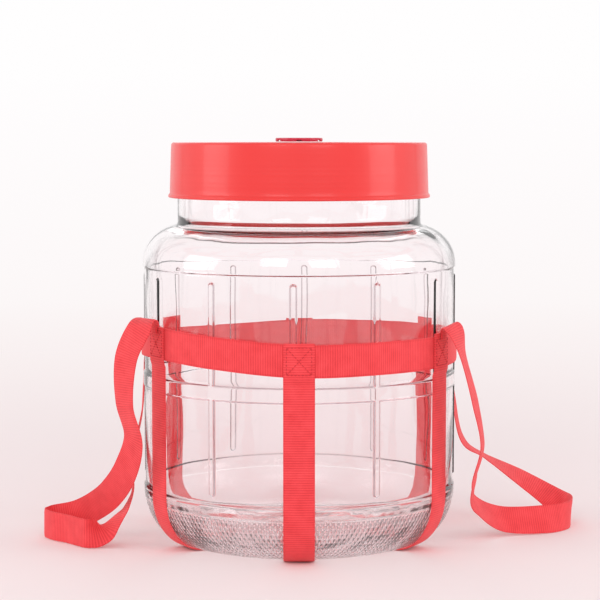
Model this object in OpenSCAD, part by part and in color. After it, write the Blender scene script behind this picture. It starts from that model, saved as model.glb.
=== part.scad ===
// Fermentation jar with airlock, carried in a webbing harness with two hand loops.
// Millimetres, +Z up. The origin is on the floor under the middle of the jar.
// -Y is the side with one upright strap in the middle and a hand loop on each hand.

/* [Glass jar] */
// Outside diameter over the raised ribs
body_d = 270; // [250:1:300]
// Height at which the shoulder starts to turn in
shoulder_z = 240; // [225:1:250]
// Height of the glass rim above the start of the shoulder
neck_rise = 98; // [92:1:108]
// Outside diameter of the neck
neck_d = 209.8; // [204:0.2:212]
// Thickness of the glass in the wall
wall = 5.4; // [4:0.1:7]
// Width of the ring that the glass stands on, inner edge to outer edge
foot_w = 8; // [5:0.5:12]
// Outside radius of that standing ring
foot_r = 100; // [95:0.5:104]
// Height of the rounded heel
heel_h = 45; // [38:1:48]
// How far the ribs and rings stand out of the panels
relief = 1.2; // [0.5:0.1:1.4]
// Number of upright ribs round the jar
rib_count = 12; // [8:1:16]
// Width of a rib
rib_w = 6; // [4:0.2:8]
// Turn of the ribs against the harness, in degrees
rib_turn = -2; // [-5:0.5:5]

/* [Screw lid] */
// Height of the lid's skirt, lip to top
lid_h = 47.2; // [45:0.2:48]
// Thickness of the skirt at the top edge
lid_side = 2.8; // [2.2:0.1:4]
// Thickness of the skirt at the lip
lid_lip = 5.6; // [4.6:0.1:7]
// Room for the thread between neck and skirt
thread_room = 2.5; // [2:0.1:3]
// Thickness of the lid
lid_t = 2.2; // [1.8:0.1:2.6]

/* [Airlock] */
// Outside diameter of the airlock's cap
cap_d = 40.6; // [38:0.2:44]
// Outside diameter of the water cup
cup_d = 32; // [28:0.5:34]
// Depth of the water cup
cup_h = 26; // [20:0.5:30]
// Bore of the chimney that the gas comes up
chimney_bore = 8; // [6:0.2:9]
// Free rise of the bell
bell_rise = 3.4; // [2:0.1:4]

/* [Harness] */
// Width of the strap webbing
strap_w = 25.5; // [20:0.5:30]
// Width of the waist band
band_w = 27; // [22:0.5:32]
// Thickness of the webbing
web_t = 1.3; // [1:0.1:1.6]
// Height of the waist band's lower edge at the front
band_z = 156; // [151:0.5:170]
// How far the side straps' tops stand above the band's upper edge
side_top = 3; // [1:0.5:6]

/* [Hidden] */
$fn = 128;
slip = 0.3;             // clearance between pieces that move on each other
sewn = 0.1;             // gap between pieces that are sewn or pressed together
eps = 0.01;
rib_r = body_d / 2;
panel_r = rib_r - relief;
rim_z = shoulder_z + neck_rise;
neck_r = neck_d / 2;
glass_z = web_t + sewn;                 // the glass stands on one layer of webbing
heel_top = glass_z + heel_h;
heel_a = rib_r - foot_r;                // radial half axis of the heel's curve
ring_lo = 136;                          // raised ring between the two rows of panels
ring_hi = 147;
belt_top = 50;                          // raised belt above the heel
shoulder_a = 35;
shoulder_h = 33.5;
fillet_r = 4.6;                         // hollow where the shoulder meets the neck
rim_round = 2;
punt = 5;                               // rise of the bottom at the middle
lid_top = rim_z + 5.8;
lid_bottom = lid_top - lid_h;
lid_hole_r = 18.6;
panel_top = lid_top - 1.2;              // sunk top panel of the lid
panel_under = panel_top - lid_t;
skirt_in = neck_r + thread_room;
top_r = skirt_in + lid_side;
lip_r = skirt_in + lid_lip;
sunk_r = top_r - 20.2;                  // edge of the sunk top panel
cup_r = cup_d / 2;
cup_top = lid_top + 0.9;                // top face of the cup's flange
cup_floor = cup_top - cup_h;
cup_t = 1.6;
cap_r = cap_d / 2;
cap_top = lid_top + 3.9;
bell_r = 10;
bell_t = 1.4;
bell_foot = cup_floor + cup_t + sewn;
chimney_r = chimney_bore / 2 + 1.6;
chimney_top = cup_top - 7;
strap_in = rib_r + slip;                // inner face of the straps on the wall
strap_out = strap_in + web_t;
band_in = rib_r + slip;
band_out = band_in + web_t;
over_in = band_out + sewn;              // strap where it runs over the band
over_out = over_in + web_t;
loop_r = over_out + slip + web_t / 2 + 0.25;
side_top_z = band_z + band_w + side_top;
// How far the slack band rides up or down round the jar, every 30 degrees from the rear
left_up = 5;                            // the left loop holds its strap up by this much
band_sag = [-4.5, -7.5, -6, 4, 7.5, 4.5, 0, 0.5, 0.5, 0.5, -2.5, -4, -4.5];

glass_c = [0.90, 0.93, 0.94, 0.35];
lid_c = [0.93, 0.16, 0.14];
web_c = [0.90, 0.17, 0.18];
cap_c = [0.62, 0.06, 0.16];
clear_c = [0.95, 0.80, 0.82, 0.6];
rubber_c = [0.75, 0.73, 0.70];

// ---- shared helpers ----

// Points on an ellipse round [cr, cz], from angle a0 to a1 in n steps.
function arc_pts(cr, cz, ar, az, a0, a1, n = 16) =
    [for (i = [0 : n]) let (a = a0 + (a1 - a0) * i / n) [cr + ar * cos(a), cz + az * sin(a)]];

function unit(v) = v / norm(v);

// One value on a smooth curve through a list, at segment i and share t of it.
function ends(p) = concat([2 * p[0] - p[1]], p, [2 * p[len(p) - 1] - p[len(p) - 2]]);
function smooth_at(q, i, t) =
    0.5 * (2 * q[i] + (q[i + 1] - q[i - 1]) * t
    + (2 * q[i - 1] - 5 * q[i] + 4 * q[i + 1] - q[i + 2]) * t * t
    + (3 * q[i] - q[i - 1] - 3 * q[i + 1] + q[i + 2]) * t * t * t);
function smooth_path(p, n) =
    let (q = ends(p))
    concat([for (i = [1 : len(p) - 1]) for (k = [0 : n - 1]) smooth_at(q, i, k / n)], [p[len(p) - 1]]);

// A flat tape along a route. Each stop is [x, y, z, turn, tilt, width]: the middle of the tape,
// the way its width points (turn about Z, tilt up), and how wide it is there.
module tape(route, thick, steps = 6) {
    mid = smooth_path([for (s = route) [s[0], s[1], s[2]]], steps);
    raw = smooth_path([for (s = route) [cos(s[3]) * cos(s[4]), sin(s[3]) * cos(s[4]), sin(s[4])]], steps);
    wide = smooth_path([for (s = route) s[5]], steps);
    n = len(mid);
    function along(i) = unit(mid[min(i + 1, n - 1)] - mid[max(i - 1, 0)]);
    function across(i) = unit(raw[i] - along(i) * (raw[i] * along(i)));
    function normal(i) = unit(cross(along(i), across(i)));
    function on_floor(p) = [p[0], p[1], max(p[2], thick / 2 + 0.05)];
    function edge(i, side) = on_floor(mid[i] + across(i) * side * wide[i] / 2);
    pts = [for (i = [0 : n - 1]) for (c = [[-1, -1], [1, -1], [1, 1], [-1, 1]])
        edge(i, c[0]) + normal(i) * c[1] * thick / 2];
    sides = [for (i = [0 : n - 2]) for (k = [0 : 3]) for (half = [0, 1])
        let (a = 4 * i + k, b = 4 * i + (k + 1) % 4)
        half == 0 ? [a, b, b + 4] : [a, b + 4, a + 4]];
    last = 4 * n - 4;
    caps = [[3, 2, 1], [3, 1, 0], [last, last + 1, last + 2], [last, last + 2, last + 3]];
    polyhedron(points = pts, faces = concat(caps, sides), convexity = 10);
}

// ---- glass jar ----

function glass_outside() = concat(
    [[0, glass_z + punt], [foot_r * 0.45, glass_z + punt - 0.5],
     [foot_r - foot_w - 5, glass_z + 2], [foot_r - foot_w, glass_z]],
    arc_pts(foot_r, heel_top, heel_a, heel_h, -90, 0, 18),
    [[rib_r, belt_top - 1], [panel_r, belt_top + 1.5], [panel_r, ring_lo - 1.5], [rib_r, ring_lo + 0.5],
     [rib_r, ring_hi - 1], [panel_r, ring_hi + 1], [panel_r, shoulder_z - 2]],
    arc_pts(rib_r - shoulder_a, shoulder_z, shoulder_a, shoulder_h, 0, 74, 16),
    neck_hollow(),
    [[neck_r, rim_z - rim_round]],
    arc_pts(neck_r - rim_round, rim_z - rim_round, rim_round, rim_round, 20, 90, 5));

// The hollow between shoulder and neck, as a curve seen from outside.
function neck_hollow() =
    let (z0 = shoulder_z + shoulder_h * sin(74))
    arc_pts(neck_r + fillet_r, z0 + fillet_r - 0.6, fillet_r, fillet_r, 252, 180, 6);

function glass_inside() = concat(
    [[neck_r - wall + 1, rim_z], [neck_r - wall + 0.8, rim_z - 0.8], [neck_r - wall + 0.8, shoulder_z + shoulder_h]],
    arc_pts(rib_r - shoulder_a, shoulder_z, shoulder_a - wall, shoulder_h - wall, 82, 0, 14),
    arc_pts(foot_r - 3, heel_top, rib_r - wall - foot_r + 3, heel_h - 7.5, 0, -90, 14),
    [[foot_r * 0.45, glass_z + punt + 6.2], [0, glass_z + punt + 6.8]]);

module rib(z0, z1) {
    half = rib_w / 2;
    rotate([90, 0, 0])
        translate([0, 0, rib_r - 3])
            linear_extrude(3)
                union() {
                    translate([-half, z0 + half])
                        square([rib_w, z1 - z0 - rib_w]);
                    for (z = [z0 + half, z1 - half])
                        translate([0, z])
                            circle(half, $fn = 32);
                }
}

module glass_jar() {
    color(glass_c) {
        rotate_extrude()
            polygon(concat(glass_outside(), glass_inside()));
        for (k = [0 : rib_count - 1])
            rotate([0, 0, k * 360 / rib_count + rib_turn]) {
                rib(belt_top + 6, ring_lo + 1);
                rib(ring_hi - 1, shoulder_z - 9);
            }
    }
}

// ---- screw lid and gasket ----

module screw_lid() {
    color(lid_c)
        rotate_extrude()
            polygon(concat(
                [[lid_hole_r, panel_top], [sunk_r, panel_top], [sunk_r + 1.2, lid_top]],
                arc_pts(top_r - 2.5, lid_top - 2.5, 2.5, 2.5, 90, 8, 6),
                [[lip_r - 1.4, lid_bottom + 4.4]],
                arc_pts(lip_r - 1.2, lid_bottom + 1.2, 1.2, 1.2, 60, -90, 6),
                [[skirt_in, lid_bottom], [skirt_in, panel_under - 0.8], [skirt_in - 0.8, panel_under]],
                plug_ring(),
                [[lid_hole_r, panel_under]]));
}

// The ring under the lid's top that goes down inside the glass rim.
function plug_ring() =
    let (ro = neck_r - wall - 2, ri = ro - 2, z = panel_under - 7)
    [[ro, panel_under], [ro, z + 0.6], [ro - 0.6, z], [ri + 0.4, z], [ri, z + 0.6], [ri, panel_under]];

module lid_gasket() {
    gap_lo = rim_z + sewn;
    gap_hi = panel_under - sewn;
    color(rubber_c)
        rotate_extrude()
            translate([neck_r - wall - 1.2, gap_lo])
                square([wall + 1.6, gap_hi - gap_lo]);
}

// ---- airlock ----

module airlock_grommet() {
    lip = 1.9;
    color(rubber_c)
        rotate_extrude()
            polygon([
                [cup_r + sewn, panel_under - 1.4], [lid_hole_r + lip, panel_under - 1.4],
                [lid_hole_r + lip, panel_under - sewn], [lid_hole_r - sewn, panel_under - sewn],
                [lid_hole_r - sewn, panel_top + sewn], [lid_hole_r + lip, panel_top + sewn],
                [lid_hole_r + lip, lid_top - 0.2], [cup_r + sewn, lid_top - 0.2]]);
}

module airlock_cup() {
    flange_t = 1;
    color(clear_c)
        difference() {
            union() {
                translate([0, 0, cup_floor])
                    cylinder(r = cup_r, h = cup_h);
                translate([0, 0, cup_top - flange_t])
                    cylinder(r = cap_r - 0.3, h = flange_t);
            }
            difference() {
                translate([0, 0, cup_floor + cup_t])
                    cylinder(r = cup_r - cup_t, h = cup_h);
                translate([0, 0, cup_floor])
                    cylinder(r = chimney_r, h = chimney_top - cup_floor);
            }
            translate([0, 0, cup_floor - 1])
                cylinder(d = chimney_bore, h = cup_h + 2);
        }
}

module airlock_bell() {
    top = cap_top - 1.6 - bell_rise - 0.4;
    notch_h = 3;
    color(clear_c)
        difference() {
            translate([0, 0, bell_foot])
                cylinder(r = bell_r, h = top - bell_foot);
            translate([0, 0, bell_foot - 1])
                cylinder(r = bell_r - bell_t, h = top - bell_foot + 1 - bell_t);
            for (a = [0, 90])
                rotate([0, 0, a])
                    translate([-bell_r - 1, -1.5, bell_foot - 1])
                        cube([2 * bell_r + 2, 3, notch_h + 1]);
        }
}

module airlock_cap() {
    cap_foot = cup_top + sewn;
    ring_r = cup_r - cup_t - slip;
    color(cap_c)
        difference() {
            union() {
                rotate_extrude()
                    polygon(concat(
                        [[0, cap_top - 1.6], [cap_r - 1.4, cap_top - 1.6], [cap_r - 1.4, cap_foot], [cap_r, cap_foot]],
                        arc_pts(cap_r - 0.8, cap_top - 0.8, 0.8, 0.8, 0, 90, 5),
                        [[0, cap_top]]));
                translate([0, 0, cap_foot - 3.2])
                    difference() {
                        cylinder(r = ring_r, h = cap_top - cap_foot + 2.2);
                        translate([0, 0, -1])
                            cylinder(r = ring_r - 1.3, h = cap_top);
                    }
            }
            for (a = [30 : 60 : 150])
                rotate([0, 0, a])
                    translate([-cap_r - 1, -2, cap_foot - 4])
                        cube([2 * cap_r + 2, 4, 5]);
        }
}

// ---- harness ----

// Rise of the band at a turn from -180 to 180, where 0 is the front and 90 the right side.
function band_rise(turn) =
    let (u = (turn + 180) / 30, i = min(floor(u), 11), q = ends(band_sag))
    smooth_at(q, i + 1, u - i);

// The band is a ring of short flat lengths, each following the rise.
module waist_band() {
    n = 96;
    section = [[band_in, 0], [band_out, 0], [band_out, band_w], [band_in, band_w]];
    pts = [for (i = [0 : n - 1]) let (turn = i * 360 / n - 180, z = band_z + band_rise(turn))
        for (c = section) [c[0] * sin(turn), -c[0] * cos(turn), z + c[1]]];
    sides = [for (i = [0 : n - 1]) for (k = [0 : 3]) for (half = [0, 1])
        let (j = (i + 1) % n, a = 4 * i + k, b = 4 * i + (k + 1) % 4, c = 4 * j + (k + 1) % 4, d = 4 * j + k)
        half == 0 ? [a, b, c] : [a, c, d]];
    color(web_c)
        polyhedron(points = pts, faces = sides, convexity = 6);
}

// Section of half a strap, from under the middle of the jar to its top. It is lifted at the
// middle by the layers that it crosses over, and steps out over the waist band.
function strap_section(top, layer, rise) =
    let (lift = layer * (web_t + sewn), flat = 28 - layer, ramp = 36 + 8 * layer, step_z = band_z + rise)
    concat(
        [[0, lift], [flat, lift], [ramp, 0]],
        arc_pts(foot_r, heel_top, strap_out - foot_r, heel_top, -90, 0, 18),
        [[strap_out, step_z - 5], [over_out, step_z - 2], [over_out, top],
         [over_in, top], [over_in, step_z - 1.8], [strap_in, step_z - 4.8]],
        arc_pts(foot_r, heel_top, strap_in - foot_r, heel_top - web_t, 0, -90, 18),
        [[ramp + 0.5, web_t], [flat + 0.2, lift + web_t], [0, lift + web_t]]);

module strap_half(top, layer, rise) {
    intersection() {
        rotate_extrude()
            polygon(strap_section(top, layer, rise));
        translate([-strap_w / 2, -2 * rib_r, -1])
            cube([strap_w, 2 * rib_r + 1, top + 10]);
    }
}

// A whole strap under the jar. Its front end is at the given turn and its rear end opposite.
module strap(turn, front_top, rear_top, layer) {
    rotate([0, 0, turn]) {
        strap_half(front_top, layer, band_rise(turn));
        rotate([0, 0, 180])
            strap_half(rear_top, layer, band_rise(turn > 0 ? turn - 180 : turn + 180));
    }
}

module strap_front_back() {
    color(web_c)
        strap(0, band_z + band_w + 1, band_z + band_w + band_rise(180) + 1, 0);
}

module strap_left_to_rear() {
    color(web_c)
        strap(-60, side_top_z + left_up, side_top_z, 1);
}

module strap_right_to_rear() {
    color(web_c)
        strap(60, side_top_z, side_top_z + 1, 2);
}

// Where a hand loop is sewn on the outside of a side strap's top, gathered to a narrow end.
function sewn_at(side, angle, drop, turn, wide) =
    [side * loop_r * sin(angle), -loop_r * cos(angle), side_top_z - drop, turn, 0, wide];

// Stops given by how far they stand out from the side of the jar, on its left or right.
function beside(side, stops) = [for (s = stops) [side * (rib_r + s[0]), s[1], s[2], s[3], s[4], s[5]]];

module handle_left() {
    front_end = [sewn_at(-1, 60, 0.5, -60, 9), sewn_at(-1, 60.1, -left_up, -60, 11)];
    fold = [[-13.2, -71.8, 195, -52, 0, 16], [-9, -76, 197.5, -40, 0, 21], [-2.5, -79, 190, -32, 2, 25]];
    hang = [[8.5, -79.5, 165, -38, 3, 25], [10, -80, 128, -50, -6, 25], [3, -78, 97, -48, -8, 25]];
    down = [[11.6, -62, 67.5, -33, -36, 25], [26, -37, 44.5, -25, -47, 25], [42.5, -12, 28.6, -32, -51, 25],
        [61, 5, 17.4, -40, -66, 25]];
    lying = [[81, 7, 13, -90, -84, 25], [87.2, -5, 12.6, -95, -86, 25], [79, -20, 12.6, -95, -86, 25],
        [65, -33, 12.6, -95, -88, 25], [50, -50, 12.7, -90, -90, 25], [45.5, -53.6, 12.7, -90, -90, 25],
        [40.5, -52, 12.7, -90, -76, 25], [35, -48.5, 13.2, -88, -50, 25], [28.5, -44, 15, -84, -24, 25]];
    rise = [[21, -38, 22, -75, -6, 25], [13.6, -34, 31, -78, 3, 25], [8.5, -28, 45, -83, 6, 25],
        [10, -12, 60, -83, 25, 25], [8.6, 16, 82, -80, 35, 25], [5.5, 43, 104, -82, 32, 25],
        [5.5, 64, 128, -84, 22, 25], [4.5, 76, 152, -88, 8, 24], [-5.5, 75.5, 170, -102, 2, 19]];
    color(web_c)
        tape(concat(front_end, beside(-1, concat(fold, hang, down, lying, rise)), [sewn_at(-1, 120, 6, -120, 11)]), web_t);
}

module handle_right() {
    front_end = [sewn_at(1, 60, 5.5, -120, 9), sewn_at(1, 60.1, 0.5, -120, 11)];
    fold = [[-13, -71.2, 190, -125, -5, 16], [-9, -74, 192, -130, -11, 22], [-4, -76, 186, -122, -5, 25]];
    hang = [[1.5, -77, 166, -106, 4, 25], [12, -74, 127, -107, 8, 25], [18.6, -67, 91, -101, 9, 25],
        [14, -50, 58, -100, 8, 25], [17, -30, 34, -100, -4, 25]];
    lying = [[43, -2, 15, -90, -50, 25], [87, 12, 12.4, -84, -68, 25], [108, 36, 12, -110, -74, 25],
        [103, 72, 15, -121, -48, 25]];
    rise = [[74, 84, 33, -118, -20, 25], [35, 79, 57, -102, 4, 25], [14, 76, 74, -99, -4, 25],
        [6, 76, 112, -100, -2, 25], [1.5, 76.5, 148, -95, 2, 25], [-6.5, 75, 170, -79, 0, 19]];
    color(web_c)
        tape(concat(front_end, beside(1, concat(fold, hang, lying, rise)), [sewn_at(1, 120, 6, -60, 11)]), web_t);
}

glass_jar();
screw_lid();
lid_gasket();
airlock_grommet();
airlock_cup();
airlock_bell();
airlock_cap();
waist_band();
strap_front_back();
strap_left_to_rear();
strap_right_to_rear();
handle_left();
handle_right();
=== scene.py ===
# %% [markdown]
# # Fermentation jar with airlock
# This lesson dresses a ribbed glass jar of about fifteen litres, with a red screw lid, an airlock in
# the lid and a harness of red webbing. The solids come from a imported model, which brings the moving
# bodies. Every cell below builds one piece or one finish in metres, in the same place as its solid,
# and lets it ride on its body, so that the jar can be opened and lifted later.

import math

import bmesh
import bpy
from mathutils import Matrix, Vector


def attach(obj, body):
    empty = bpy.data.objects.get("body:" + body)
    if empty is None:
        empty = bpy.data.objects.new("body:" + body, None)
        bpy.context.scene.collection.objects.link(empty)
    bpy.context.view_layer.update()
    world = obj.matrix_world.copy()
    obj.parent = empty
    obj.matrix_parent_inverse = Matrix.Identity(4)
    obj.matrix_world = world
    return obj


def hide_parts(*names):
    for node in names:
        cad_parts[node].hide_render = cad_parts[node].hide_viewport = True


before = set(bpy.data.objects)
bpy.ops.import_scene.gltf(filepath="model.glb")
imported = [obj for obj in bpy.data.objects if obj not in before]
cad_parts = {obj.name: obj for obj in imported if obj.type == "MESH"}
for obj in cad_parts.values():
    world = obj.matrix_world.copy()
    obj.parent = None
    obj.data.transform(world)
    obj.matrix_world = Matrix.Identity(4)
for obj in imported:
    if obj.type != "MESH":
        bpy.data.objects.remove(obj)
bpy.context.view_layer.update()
MM = 0.001
print("nodes:", sorted(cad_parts))

# %% [markdown]
# ## The sizes
# All sizes are in millimetres and match those of the solids, so that a visible piece lies exactly
# where its solid lies. Naming them once means that a rib, a band or a lid can be changed in one line
# and everything that depends on it follows.

# %% Sizes of glass, lid and webbing
RIB_R, RELIEF, WALL, NECK_R = 135.0, 1.2, 5.4, 104.9
PANEL_R = RIB_R - RELIEF
FOOT_R, HEEL_H, GLASS_Z = 100.0, 45.0, 1.4
HEEL_TOP = GLASS_Z + HEEL_H
BELT_TOP, RING_LO, RING_HI = 50.0, 136.0, 147.0
SHOULDER_Z, SHOULDER_A, SHOULDER_H = 240.0, 35.0, 33.5
RIM_Z, LID_TOP, LID_BOTTOM = 338.0, 343.8, 296.6
PUNT, RIB_W, RIB_TURN = 5.0, 6.0, -2.0
WEB_T, STRAP_W, BAND_Z, BAND_W, SIDE_TOP = 1.3, 25.5, 156.0, 27.0, 186.0
LEAD, STARTS = 24.0, 4
print("body", 2 * RIB_R, "mm across, lid top at", LID_TOP, "mm")

# %% [markdown]
# ## Helpers for turned pieces
# Glass jar, lid, seals and airlock are all round, so each is a profile that is spun round the Z axis.
# A full spin of a long profile is slow, so one wedge is spun and then copied round, and the seams are
# merged. The shape function then moves single vertices, for ribs, threads and vents.

# %% Helpers: arc, finish, lathe


def arc(cr, cz, ar, az, a0, a1, n):
    """Points of an ellipse round (cr, cz), from angle a0 to a1 in degrees."""
    return [(cr + ar * math.cos(math.radians(a0 + (a1 - a0) * i / n)),
             cz + az * math.sin(math.radians(a0 + (a1 - a0) * i / n))) for i in range(n + 1)]


def smoothstep(x, lo, hi):
    t = min(1.0, max(0.0, (x - lo) / (hi - lo)))
    return t * t * (3 - 2 * t)


def finish_mesh(bm, name, smooth=True, shade_angle=None):
    bmesh.ops.recalc_face_normals(bm, faces=bm.faces[:])
    mesh = bpy.data.meshes.new(name)
    bm.to_mesh(mesh)
    bm.free()
    for p in mesh.polygons:
        p.use_smooth = smooth
    if shade_angle is not None:
        mesh.set_sharp_from_angle(angle=math.radians(shade_angle))
    obj = bpy.data.objects.new(name, mesh)
    bpy.context.scene.collection.objects.link(obj)
    return obj


def lathe(name, profile, steps, wedges=12, closed=True, shape=None, shade_angle=40):
    """Spins (radius, height) points in millimetres round Z: one wedge is spun, then copied round."""
    bm = bmesh.new()
    verts = [bm.verts.new((r * MM, 0.0, z * MM)) for r, z in profile]
    edges = [bm.edges.new(pair) for pair in zip(verts, verts[1:])]
    if closed:
        edges.append(bm.edges.new((verts[-1], verts[0])))
    bmesh.ops.spin(bm, geom=verts + edges, cent=(0, 0, 0), axis=(0, 0, 1), dvec=(0, 0, 0),
                   angle=2 * math.pi / wedges, steps=steps // wedges, use_merge=False,
                   use_normal_flip=False, use_duplicate=False)
    wedge = bm.verts[:] + bm.edges[:] + bm.faces[:]
    for k in range(1, wedges):
        copy = bmesh.ops.duplicate(bm, geom=wedge)["geom"]
        bmesh.ops.rotate(bm, verts=[v for v in copy if isinstance(v, bmesh.types.BMVert)], cent=(0, 0, 0),
                         matrix=Matrix.Rotation(2 * math.pi * k / wedges, 3, "Z"))
    bmesh.ops.remove_doubles(bm, verts=bm.verts[:], dist=1e-6)
    if shape:
        for v in bm.verts:
            v.co = shape(v.co)
    return finish_mesh(bm, name, shade_angle=shade_angle)


def eased(corners, cut=0.3):
    """Rounds every corner of a closed profile by cutting it with a short curve."""
    out = []
    n = len(corners)
    for i, p in enumerate(corners):
        before, after = corners[i - 1], corners[(i + 1) % n]
        a = min(cut, 0.45 * math.dist(p, before))
        b = min(cut, 0.45 * math.dist(p, after))
        start = [q + (w - q) * a / max(1e-9, math.dist(p, before)) for q, w in zip(p, before)]
        end = [q + (w - q) * b / max(1e-9, math.dist(p, after)) for q, w in zip(p, after)]
        middle = [(s + e) / 4 + q / 2 for s, e, q in zip(start, end, p)]
        out += [tuple(start), tuple(middle), tuple(end)]
    return out


print("helpers for turned pieces are ready")

# %% [markdown]
# ## Helpers for webbing
# Webbing is a flat tape. A slab is a flat grid, given a thickness by Solidify and then bent into
# place vertex by vertex. That keeps even cells along the tape, so the woven ribs can be real shape,
# and the weave in the material can follow the tape's own length instead of the room.

# %% Helpers: slab, smooth curve, even steps


def slab(name, nu, nv, place):
    """A closed flat slab of nu by nv cells. place(u, v, side) gives each vertex its position."""
    bm = bmesh.new()
    bmesh.ops.create_grid(bm, x_segments=nu, y_segments=nv, size=0.5)
    bmesh.ops.solidify(bm, geom=bm.faces[:], thickness=0.1)
    mid = sum(v.co.z for v in bm.verts) / len(bm.verts)
    for v in bm.verts:
        v.co = place(v.co.x + 0.5, v.co.y * 2, 1 if v.co.z > mid else -1)
    return finish_mesh(bm, name, shade_angle=60)


def catmull(points, n):
    """Smooth curve through a list of equal-length tuples, n steps a span."""
    pts = [list(p) for p in points]
    pts = [[2 * a - b for a, b in zip(pts[0], pts[1])]] + pts + [[2 * a - b for a, b in zip(pts[-1], pts[-2])]]
    out = []
    for i in range(1, len(pts) - 2):
        for k in range(n):
            t = k / n
            out.append([0.5 * (2 * b + (c - a) * t + (2 * a - 5 * b + 4 * c - d) * t * t
                               + (3 * b - a - 3 * c + d) * t ** 3)
                        for a, b, c, d in zip(pts[i - 1], pts[i], pts[i + 1], pts[i + 2])])
    out.append(pts[-2])
    return out


def resample(points, step):
    """Even steps along a dense path; every column is carried along."""
    run = [0.0]
    for a, b in zip(points, points[1:]):
        run.append(run[-1] + math.dist(a[:3], b[:3]))
    n = max(2, round(run[-1] / step))
    out, j = [], 0
    for i in range(n + 1):
        s = run[-1] * i / n
        while j < len(run) - 2 and run[j + 1] < s:
            j += 1
        t = (s - run[j]) / max(1e-9, run[j + 1] - run[j])
        out.append([a + (b - a) * t for a, b in zip(points[j], points[j + 1])])
    return out, run[-1]


print("helpers for webbing are ready")

# %% [markdown]
# ## Helpers for materials
# A node tree gets long when every node and link is written out. These small functions add a node,
# link it and hand back its output, so a material below reads almost like a formula.

# %% Helpers: nodes


def new_material(name):
    mat = bpy.data.materials.new(name)
    mat.use_nodes = True
    tree = mat.node_tree
    bsdf = next(n for n in tree.nodes if n.type == "BSDF_PRINCIPLED")
    return mat, tree, bsdf


def put(tree, kind, **props):
    node = tree.nodes.new(kind)
    for key, value in props.items():
        setattr(node, key, value)
    return node


def math_node(tree, op, a, b=None):
    node = put(tree, "ShaderNodeMath", operation=op)
    for i, value in enumerate((a, b)):
        if value is None:
            continue
        if isinstance(value, (int, float)):
            node.inputs[i].default_value = value
        else:
            tree.links.new(value, node.inputs[i])
    return node.outputs[0]


def ramp(tree, fac, stops):
    node = put(tree, "ShaderNodeValToRGB")
    tree.links.new(fac, node.inputs[0])
    els = node.color_ramp.elements
    while len(els) < len(stops):
        els.new(0.5)
    for el, (pos, col) in zip(els, stops):
        el.position, el.color = pos, (*col, 1)
    return node.outputs[0]


def noise(tree, coord, scale, detail=3.0, rough=0.5):
    node = put(tree, "ShaderNodeTexNoise")
    node.inputs["Scale"].default_value = scale
    node.inputs["Detail"].default_value = detail
    node.inputs["Roughness"].default_value = rough
    tree.links.new(coord, node.inputs["Vector"])
    return node.outputs[0]


def bump(tree, height, distance, strength=1.0, normal=None):
    node = put(tree, "ShaderNodeBump")
    node.inputs["Strength"].default_value = strength
    node.inputs["Distance"].default_value = distance
    tree.links.new(height, node.inputs["Height"])
    if normal is not None:
        tree.links.new(normal, node.inputs["Normal"])
    return node.outputs[0]


def split(tree, vector):
    node = put(tree, "ShaderNodeSeparateXYZ")
    tree.links.new(vector, node.inputs[0])
    return node.outputs


def dress(obj, mat, slot_name, body, *nodes):
    """Material, slot name (not used), body and the solids that this piece stands for."""
    obj.data.materials.append(mat)
    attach(obj, body)
    if nodes:
        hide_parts(*nodes)
    print(obj.name, len(obj.data.polygons), "faces")
    return obj


print("helpers for materials are ready")

# %% [markdown]
# ## Glass
# The jar is clear pressed glass. It bends the light of whatever stands behind it, so a plain
# Principled shader with full transmission does most of the work, and the surface does the rest: slow
# waves from the mould, a stipple of small dots on the heel with painted shade between the dots,
# painted shade on the flanks of the ribs, the ring and the panels' edges, and a softer inner heel that
# blurs what is seen through it. Point attributes on the mesh say where each zone is.
# Light that only looks for a lamp or for the room passes on through Alpha, so that the webbing behind
# the jar isn't in the dark.

# %% Glass material


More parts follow.
